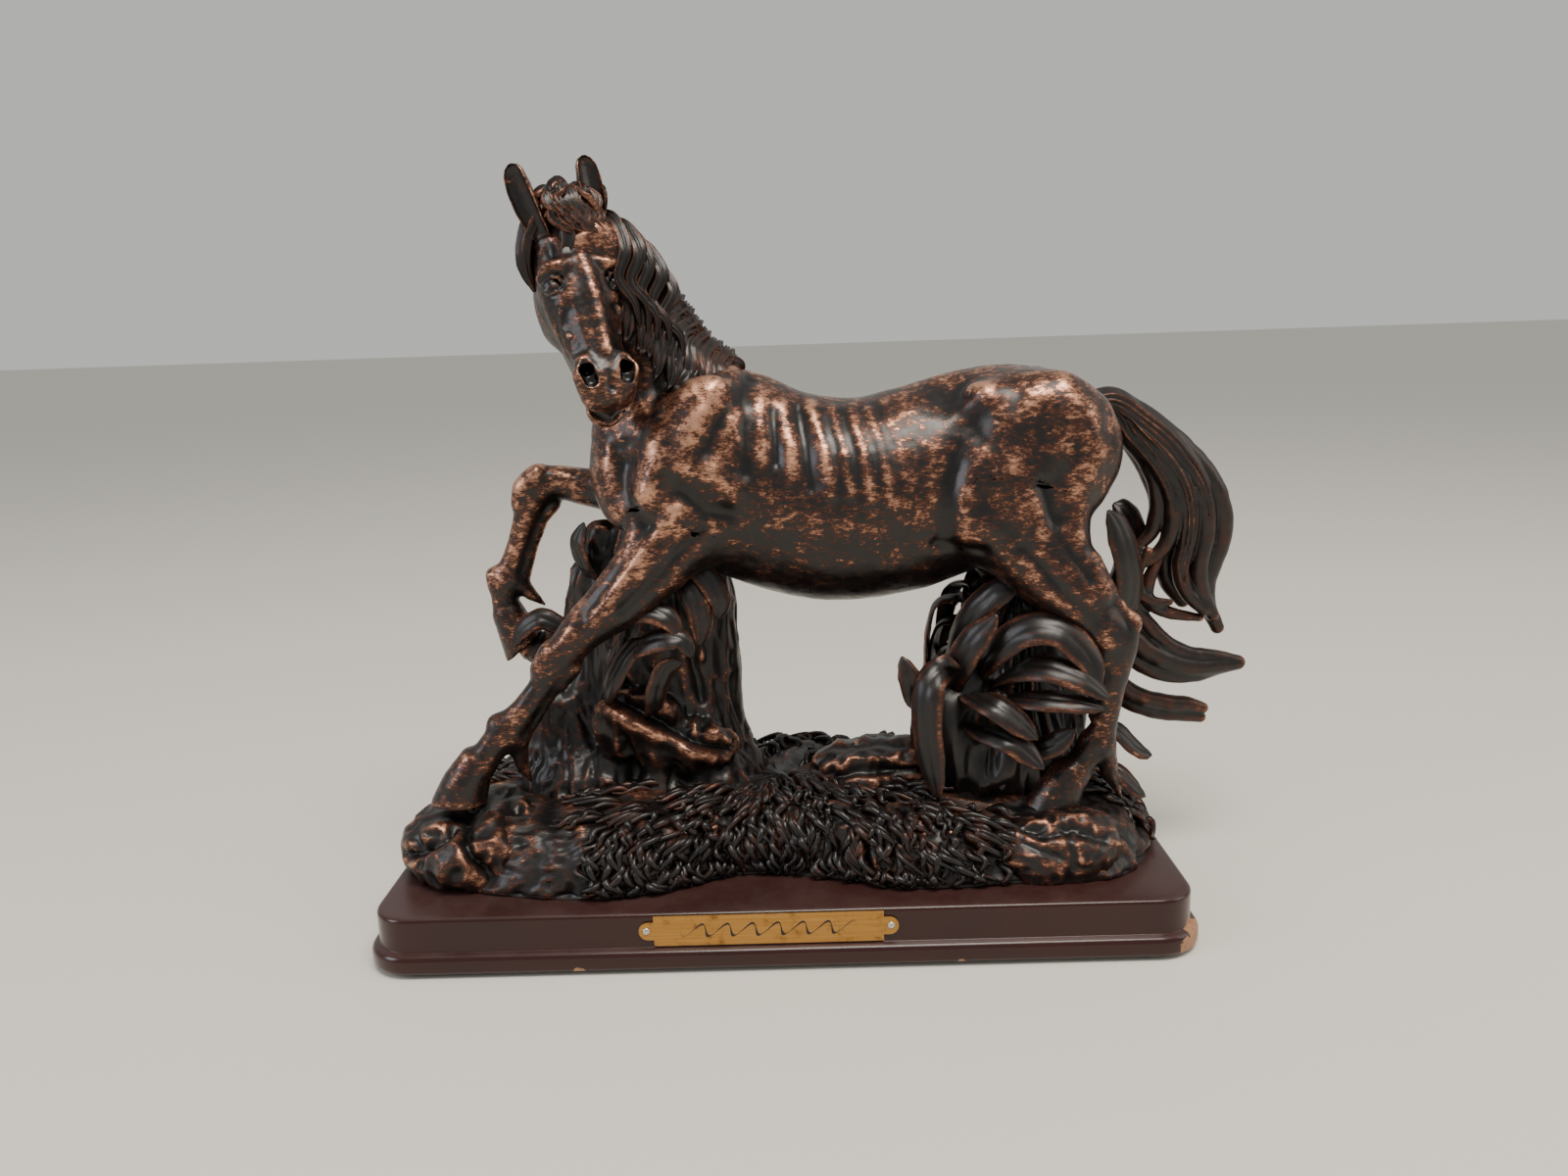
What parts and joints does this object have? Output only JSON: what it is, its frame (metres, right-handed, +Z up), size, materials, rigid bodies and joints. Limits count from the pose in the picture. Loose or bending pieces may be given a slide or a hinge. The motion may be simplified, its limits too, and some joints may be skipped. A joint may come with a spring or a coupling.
{
  "type": "horse statuette",
  "caption": "Walking horse figurine in dark antiqued bronze finish on a rocky grass mound with leafy stumps, fixed to a moulded wooden plinth with a blank brass plate.",
  "frame": {"origin": "centre of the plinth's underside, on the surface that the statue stands on", "axes": "+Z up, the horse faces -X, its left side and the nameplate face -Y"},
  "size_m": [0.2822, 0.12, 0.2346],
  "materials": {
    "bronze": "satin",
    "steel": "satin",
    "lacquered_wood": "gloss",
    "felt": "matte",
    "etched_brass": "satin",
    "pin_metal": "gloss"
  },
  "bodies": {
    "root": {"ground": "bronze", "hoof_rock": "bronze", "front_stone": "bronze", "flat_stone": "bronze", "front_stump": "bronze", "front_leaves": "bronze", "rear_clump": "bronze", "rear_leaves": "bronze", "body": "bronze", "neck": "bronze", "head": "bronze", "ears": "bronze", "forelock": "bronze", "mane": "bronze", "planted_foreleg": "bronze", "raised_foreleg": "bronze", "left_hind_leg": "bronze", "right_hind_leg": "bronze", "tail": "bronze", "tail_sweep": "bronze", "tail_end": "bronze", "fixing_screws": "steel", "screw_washers": "steel", "neck_dowel": "steel", "head_dowel": "steel", "tail_dowel": "steel", "raised_leg_dowel": "steel", "plinth": "lacquered_wood", "felt_underlay": "felt", "nameplate": "etched_brass", "nameplate_pins": "pin_metal"}
  },
  "joints": []
}
